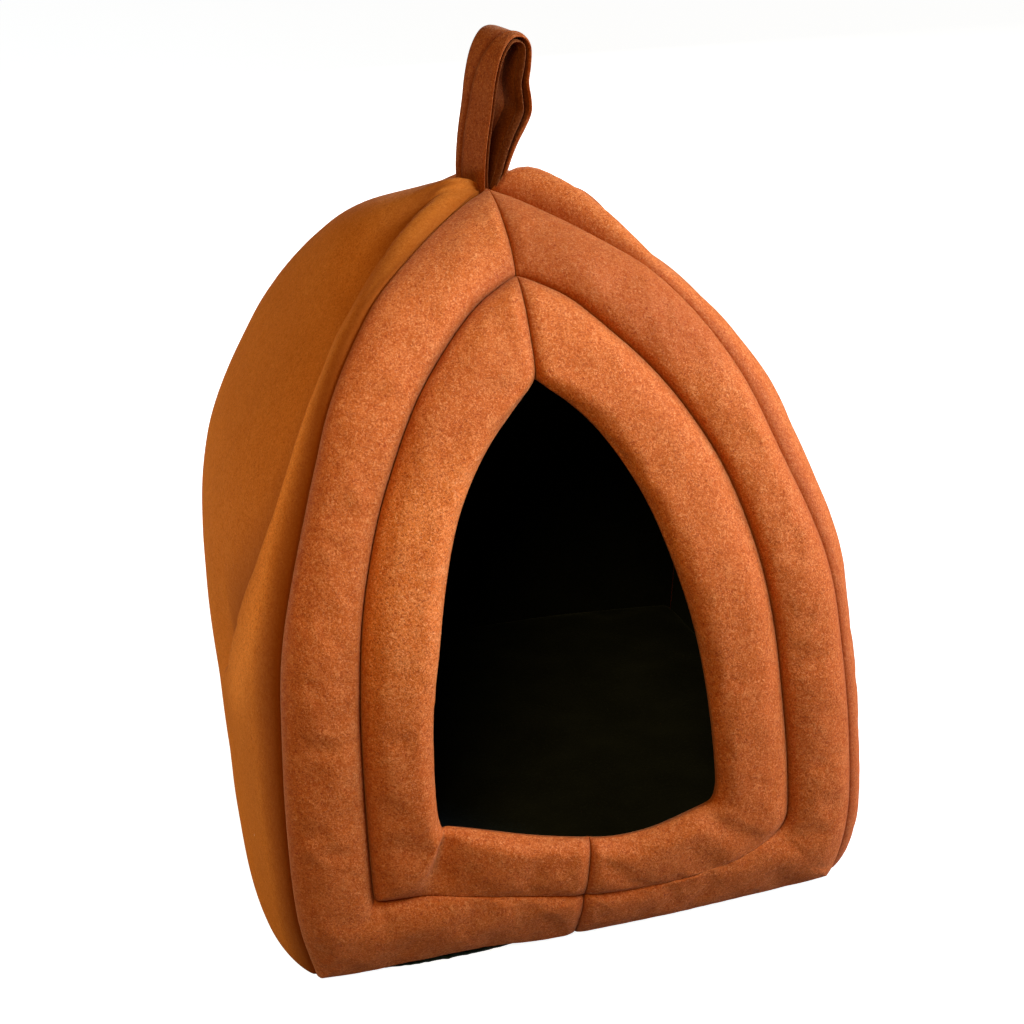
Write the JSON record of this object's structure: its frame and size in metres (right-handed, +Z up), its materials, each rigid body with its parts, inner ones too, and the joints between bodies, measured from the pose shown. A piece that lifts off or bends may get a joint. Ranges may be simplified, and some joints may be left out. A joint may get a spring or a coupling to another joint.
{
  "type": "cat tent bed",
  "caption": "Soft padded tent-shaped pet bed with an arched front door, a floor pad, a dark base cloth and a carry loop on top.",
  "frame": {"origin": "on the floor at the middle of the square base", "axes": "+Z up, the door faces -Y, +X to the right as seen from the front"},
  "size_m": [0.3333, 0.332, 0.4369],
  "materials": {
    "fleece": "matte felted fleece",
    "dark_cloth": "matte woven base cloth"
  },
  "bodies": {
    "root": {"front_ring_outer_left": "fleece", "front_ring_outer_right": "fleece", "front_ring_inner_left": "fleece", "front_ring_inner_right": "fleece", "side_left": "fleece", "side_right": "fleece", "back_panel": "fleece", "floor_panel": "dark_cloth", "base_cloth": "dark_cloth", "carry_loop": "fleece"}
  },
  "joints": []
}
